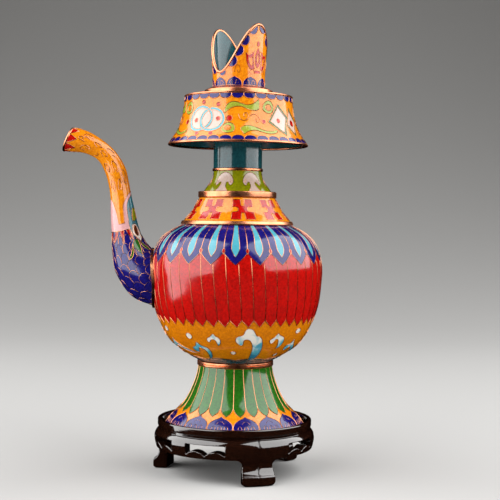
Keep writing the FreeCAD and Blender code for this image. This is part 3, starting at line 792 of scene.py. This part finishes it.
wires("hat_ribbon_wires", hat_skin, ribbons + ribbon_hearts, hat_curls, copies=ribbon_repeats)
wires("hat_gem_wires", hat_skin, gems, copies=hat_repeats)


# Mouth
# A slightly flared copper tube whose top is cut to two rounded lobes and edged with bright copper. It
# is enamelled orange outside, with blue petals round its foot and half-discs along its edge, teal inside.
mouth_low = 181.0
mouth_low_radius = 12.35
mouth_slope = 1.25 / 29
mouth_notch = 6.0
mouth_lobe = 22.0
mouth_columns = 144
mouth_rows = 30
wrapped_lifts = (-0.44, ground_lift)
bead_radius = 0.69
bead_rise = 0.31
bead_inset = 0.575
bead_steps = 180
edge_probe = 0.1
disc_steps = 12
disc_gap = 0.15
mouth_petals = 10
mouth_turn = -10
mouth_lobes = 2
emblem_turn = 43


def edge_height(angle):
    """Height of the enamel's lobed edge, under its copper bead."""
    return mouth_low + mouth_notch + mouth_lobe * math.sin(math.radians(angle + 45)) ** 2


def mouth_skin(angle, height, lift):
    turn = math.radians(angle)
    radius = (mouth_low_radius + (height - mouth_low) * mouth_slope + lift) * mm
    return Vector((radius * math.sin(turn), -radius * math.cos(turn), height * mm))


def wrapped(name, skin, low, high, columns, rows, lifts, material, replaces):
    """A closed coat right round a face, between its ends, which may rise and fall."""
    bm = bmesh.new()
    bmesh.ops.create_grid(bm, x_segments=columns, y_segments=rows, size=1)
    raise_sheet(bm)
    seam = [f for f in bm.faces if all(abs(v.co.x) > 0.999 for v in f.verts)]
    bmesh.ops.delete(bm, geom=seam, context="FACES")
    for v in bm.verts:
        angle = v.co.x * 180
        height = low(angle) + (high(angle) - low(angle)) * (v.co.y + 1) / 2
        v.co = skin(angle, height, lifts[1] if v.co.z > 0.5 else lifts[0])
    bmesh.ops.remove_doubles(bm, verts=bm.verts[:], dist=weld_distance)
    bmesh.ops.recalc_face_normals(bm, faces=bm.faces[:])
    return add_piece(name, bm, material, "vase", replaces)


def by_edge(angle, along, inward):
    """A place by the lobed edge, so many millimetres along it and in from it."""
    per_mm = math.degrees(1 / (mouth_low_radius + (edge_height(angle) - mouth_low) * mouth_slope))
    rise = edge_height(angle + edge_probe) - edge_height(angle - edge_probe)
    way = Vector((2 * edge_probe / per_mm, rise)).normalized()
    spot = way * along + Vector((way.y, -way.x)) * inward
    return angle + spot.x * per_mm, edge_height(angle) + spot.y


def bead(name, places, radius, replaces):
    """Round copper wire along a closed line of places, soldered over the edge of a tube."""
    curve = round_wire(radius, 4)
    lay_wire(curve, places).use_cyclic_u = True
    return add_piece(name, mesh_of(curve), polished_copper, "vase", replaces, sharp=60)


def half_disc(angle, size):
    """A half-round cell that hangs square to the lobed edge."""
    turns = [math.pi * i / disc_steps for i in range(disc_steps + 1)]
    spots = [by_edge(angle, size * math.cos(turn), size * math.sin(turn)) for turn in turns]
    return [(x, min(y, edge_height(x) - disc_gap)) for x, y in spots]


wrapped("mouth_ground", mouth_skin, lambda angle: mouth_low + edge_gap / 2, edge_height, mouth_columns,
        mouth_rows, wrapped_lifts, yellow_enamel, ["mouth_enamel"])
disc_places = ((-64, 2.6), (-38, 1.9), (-16, 2.7), (-2.5, 2.7), (10.5, 2.7), (28, 2.7), (56, 2.7), (77, 2.7))
half_discs = [half_disc(a + turn, size) for turn in (0, 180) for a, size in disc_places]
mouth_petal = moved(symmetric([(0, 185.1, 1), (5, 184.6), (11, 183.9), (15.5, 182.7),
                               (16.8, mouth_low + edge_gap, 1)]), mouth_turn)
mouth_petal_curls = [moved(curl, mouth_turn) for curl in pair_of(
    [(3, 181.6), (4, 183), (7.5, 183.3), (10, 182.2), (8, 181.6)])]
side_leaf = drawn([(9, 197.2, 1), (10.8, 194.6), (10.4, 191.6), (8, 189, 1), (14, 188.2), (21, 189.2),
                   (26.5, 191.8), (29, 196, 1), (22, 195), (15, 195.8)])
side_hole = shrunk(side_leaf, (17, 192), 0.5)
emblem = [(symmetric([(0, 198.6, 1), (4.5, 196.4), (7, 193.6), (5.5, 190.7), (0, 189.3)]),
           symmetric([(0, 196.2, 1), (2, 194.9), (3, 193.4), (2.2, 191.9), (0, 191.3)])),
          (side_leaf, side_hole), tuple([(-x, y) for x, y in line] for line in (side_leaf, side_hole))]
emblem = [tuple(moved(line, emblem_turn) for line in leaf) for leaf in emblem]
emblem += [oval(emblem_turn, 200.4, 3.2, 1.2), oval(emblem_turn, 187.4, 9, 0.7)]
mouth_curls = open_lines(
    [(-9, 187), (-7, 189.6), (-2, 190.3), (2.5, 188.9), (1.5, 187), (-2, 186.9), (-3, 188.1)],
    [(84, 190), (88, 193), (94, 193.4), (98, 191.6), (96, 189.8), (92, 190.2)],
    [(22, 186.4), (27, 188.4), (33, 188), (35, 186.4)],
    [(56, 186.4), (60, 188.4), (66, 188), (69, 186.6)])
inlay("mouth_half_discs", mouth_skin, half_discs, blue_enamel)
inlay("mouth_petals", mouth_skin, [mouth_petal], blue_enamel, copies=mouth_petals)
inlay("mouth_emblems", mouth_skin, emblem, red_enamel, copies=mouth_lobes)
wires("mouth_edge_wires", mouth_skin, half_discs)
wires("mouth_petal_wires", mouth_skin, [mouth_petal], mouth_petal_curls, copies=mouth_petals,
      radius=fine_wire_radius)
wires("mouth_emblem_wires", mouth_skin, emblem, mouth_curls, copies=mouth_lobes, radius=fine_wire_radius)
edge_places = [mouth_skin(*by_edge(360 * i / bead_steps, 0, -bead_rise), -bead_inset)
               for i in range(bead_steps)]
bead("mouth_edge_bead", edge_places, bead_radius, ["mouth_edge_rim"])
dress("mouth_lining", teal_enamel)


# Spout
# A curved copper tube made as a water beast that faces up: a blue neck of scales, a teal head with an
# eye on each side, and out of its pink jaws a long yellow trunk, which pours. Enamelled as the rest is.
spout_stations = (  # length from the belly, centre's x and height, radius, and slope in degrees
    (0.0, -34.0, 89.32, 12.9, 165), (9.0, -42.42, 92.39, 12.6, 148), (17.2, -48.04, 98.28, 10.6, 124),
    (25.0, -50.95, 105.47, 8.4, 107), (30.1, -52.23, 110.44, 7.1, 102), (37.1, -53.51, 117.31, 6.25, 99),
    (43.7, -54.39, 123.85, 5.64, 97.5), (49.4, -55.14, 129.47, 5.06, 99), (55.4, -56.18, 135.36, 5.0, 100),
    (61.1, -57.62, 140.92, 5.09, 110), (68.1, -61.01, 147.0, 4.7, 128), (73.3, -64.72, 150.66, 4.6, 144),
    (80.6, -71.02, 154.13, 5.25, 161), (85.7, -76.01, 155.31, 5.8, 165), (90.3, -80.6, 155.7, 6.2, 155.5))
spout_lengths = [station[0] for station in spout_stations]
spout_end = spout_lengths[-1] - 0.7
spout_columns = 72
spout_rows = 120
tube_lifts = (-1.2, -0.45)
lip_radius = 0.62
lip_rise = 0.08
lip_inset = 0.58
lip_steps = 72
tip_petals = 8
scale_rows = 8
scale_angle = 24
scale_rise = 4.0
scale_low = 2.8
scale_turn = -6

pink_enamel = enamel("pink_enamel", "cf9c9c", "b07878", 0.3)
# The head's teal is painted lighter than the teal enamel elsewhere: a painted highlight.
highlit_snout_enamel = enamel("highlit_snout_enamel", "2b7380", "1a4c58")
dark_enamel = enamel("dark_enamel", "3a1410", "200a08")


def spout_skin(angle, length, lift):
    """Lays a place over the spout: an angle round it from its front, a length along it and a lift.

    A line along the spout runs smoothly through the same angle of every station's circle."""
    turn = math.radians(angle)

    def spot(i):
        _, x, height, radius, slope = spout_stations[i]
        lean = math.radians(slope)
        return Vector((x + (radius + lift) * math.sin(turn) * math.sin(lean),
                       -(radius + lift) * math.cos(turn),
                       height - (radius + lift) * math.sin(turn) * math.cos(lean)))

    def pull(i):
        before, after = max(i - 1, 0), min(i + 1, len(spout_stations) - 1)
        return (spot(after) - spot(before)) / (spout_lengths[after] - spout_lengths[before])

    i = min(max(bisect.bisect(spout_lengths, length) - 1, 0), len(spout_stations) - 2)
    gap = spout_lengths[i + 1] - spout_lengths[i]
    share = (length - spout_lengths[i]) / gap
    start, end = spot(i), spot(i + 1)
    near, far = start + pull(i) * gap / 3, end - pull(i + 1) * gap / 3
    first, second, third = start.lerp(near, share), near.lerp(far, share), far.lerp(end, share)
    return first.lerp(second, share).lerp(second.lerp(third, share), share) * mm


def both_sides(*outlines):
    """Lines on the spout's front, and the same on its back."""
    return list(outlines) + [[(180 - x, y) for x, y in reversed(outline)] for outline in outlines]


for name, lifts, material, slot, node in (
        ("spout_inner_tube", tube_lifts, dull_copper, "copper", "spout_tube"),
        ("spout_ground", wrapped_lifts, yellow_enamel, "yellow_enamel", "spout_enamel")):
    wrapped(name, spout_skin, lambda angle: 0.0, lambda angle: spout_end, spout_columns, spout_rows, lifts,
            material, [node])
jaw_top, jaw_low, throat_line, head_low = open_lines(
    [(-90, 48.6, 1), (-62, 48), (-46, 46.5), (-34, 44), (-24, 40), (-19, 36, 1), (7, 36.2, 1), (8.5, 40),
     (11, 44.3), (22, 46.5), (33, 47.9), (50, 49.3), (75, 50.4), (90, 50.8, 1)],
    [(26, 33.2, 1), (25, 36), (26.5, 40), (29, 44), (38, 46.2), (55, 47.8), (75, 48.9), (90, 49.2, 1)],
    [(-90, 33, 1), (-58, 33), (-17, 32.8), (26, 33.2, 1)],
    [(26, 33.2, 1), (31, 30), (40, 28.6), (50, 27.2), (56, 26), (70, 27.6), (90, 28.6, 1)])
jaw = throat_line + jaw_low[1:] + jaw_top[::-1]
head = jaw_low + head_low[::-1]
neck = [(-90, 0.2)] + throat_line + head_low[1:] + [(90, 0.2)]
eye = drawn([(33, 31.5, 1), (40, 34.2), (50, 35.2), (60, 35), (68, 33.6), (74, 31), (69, 28), (56, 26.2, 1),
             (46, 28.3), (38, 30)])
pupil = oval(53, 31.8, 10.5, 2.7)
nostril = oval(40, 42.2, 3.4, 1.1)
brow = drawn([(47, 37, 1), (52, 40.5), (60, 42.4), (75, 43), (90, 42.6, 1), (90, 37.6, 1), (75, 37.6),
              (60, 36.6)])
leaves = [drawn([(-7, 19.4, 1), (2, 20.6), (9, 22.4), (15, 24.4), (19, 26, 1), (17, 22.8), (10, 20.4),
                 (2, 19.2)]),
          drawn([(19, 24.4, 1), (26, 26.8), (36, 27.7), (45, 27, 1), (43, 24), (38, 20.8), (33, 18.4, 1),
                 (27, 21.4)]),
          drawn([(47, 26.4, 1), (56, 24.8), (66, 21.6), (70, 18, 1), (59, 19.8), (51, 22.6)])]
tufts = [drawn([(-17, 32.7, 1), (-1, 32.7, 1), (-4, 30.6), (-8, 28.4), (-12, 26.6, 1), (-12.5, 29.4)]),
         drawn([(9, 32.8, 1), (26, 32.9, 1), (28, 30.2), (27, 27.4, 1), (21, 29), (14, 30.8)]),
         drawn([(-26, 32.6, 1), (-38, 32.7, 1), (-46, 30.4), (-50, 27.6, 1), (-40, 29), (-31, 30.8)]),
         drawn([(-56, 32.8, 1), (-70, 32.8, 1), (-75, 30.4), (-76, 27.6, 1), (-68, 29), (-60, 30.8)])]
tip_petal = symmetric([(0, 85.2, 1), (8, 86.5), (15, 87.9), (21.5, spout_end - 0.05, 1)], 3)
scale = drawn([(-12, -3.7, 1), (-10.4, -1.4), (-5.5, -0.2), (0, 0), (5.5, -0.2), (10.4, -1.4), (12, -3.7, 1)],
              closed=False)
scale_lines = [moved(scale, scale_angle * (i + row % 2 / 2) + scale_turn, scale_low + scale_rise * row)
               for row in range(scale_rows) for i in range(360 // scale_angle)]
trunk_curls = open_lines(
    [(-50, 80.5), (-42, 82.4), (-30, 82.6), (-19, 81.4), (-15, 79.4), (-22, 77.8), (-31, 78.6), (-29, 80.2)],
    [(-55, 74.5), (-44, 73), (-32, 72.7), (-24, 73.4)],
    [(0, 81.5), (8, 84), (16, 84.5), (22, 83.4), (17, 82.3), (11, 82.8)],
    [(22, 79.5), (30, 82), (42, 82.2), (50, 80), (43, 78.2), (34, 78.8), (36, 80.4)],
    [(4, 75), (14, 77), (24, 76.6), (28, 74.4), (20, 73.2), (14, 74.2)],
    [(-16, 70), (-6, 72.4), (6, 72.2), (10, 70), (2, 68.6), (-4, 69.6)],
    [(20, 69.6), (32, 71.2), (46, 70.6), (52, 68), (42, 66.6), (34, 67.8)],
    [(-4, 60.6), (0, 64.4), (12, 65.8), (22, 64), (20, 61), (10, 60.4), (8, 62.6)],
    [(-48, 64), (-38, 66.6), (-26, 66), (-22, 63), (-32, 61.6), (-38, 63.4)],
    [(26, 55.6), (34, 59.6), (48, 60.4), (58, 57.6), (50, 54.8), (40, 55.4), (42, 57.6)],
    [(0, 52), (4, 55.8), (14, 57), (20, 54.6), (14, 52), (8, 53)],
    [(-44, 53.6), (-36, 57), (-24, 56.6), (-18, 53.6), (-28, 51.6), (-34, 53.4)])
over_scales = both_sides(head, jaw, *leaves, *tufts)
for name, cells, material, slot, level in (
        ("neck", [neck], blue_enamel, "blue_enamel", 1), ("head", [head], highlit_snout_enamel, "teal_enamel", 1),
        ("jaw", [jaw], pink_enamel, "red_enamel", 1), ("eyes", [eye], white_enamel, "blue_enamel", 2),
        ("pupils", [pupil, nostril], dark_enamel, "red_enamel", 3),
        ("brows", [brow], olive_enamel, "olive_enamel", 2),
        ("leaves", leaves, green_enamel, "green_enamel", 2), ("tufts", tufts, red_enamel, "red_enamel", 3)):
    inlay("spout_" + name, spout_skin, both_sides(*cells), material, level)
inlay("spout_tip_petals", spout_skin, [tip_petal], red_enamel, copies=tip_petals)
wires("spout_head_wires", spout_skin, both_sides(eye, brow, pupil, *leaves, *tufts),
      both_sides(jaw_top, jaw_low, throat_line, head_low))
wires("spout_scale_wires", spout_skin, [], scale_lines, radius=fine_wire_radius,
      under=over_scales + [moved(cell, 360) for cell in over_scales])
wires("spout_trunk_wires", spout_skin, [], both_sides(*trunk_curls))
wires("spout_tip_wires", spout_skin, [tip_petal], copies=tip_petals)
lip_places = [spout_skin(360 * i / lip_steps, spout_end + lip_rise, -lip_inset) for i in range(lip_steps)]
bead("spout_lip_bead", lip_places, lip_radius, ["spout_lip_ring"])
# The root collar wears the wires' darker copper, which is painted shade.
dress("spout_root_collar", shaded_copper)
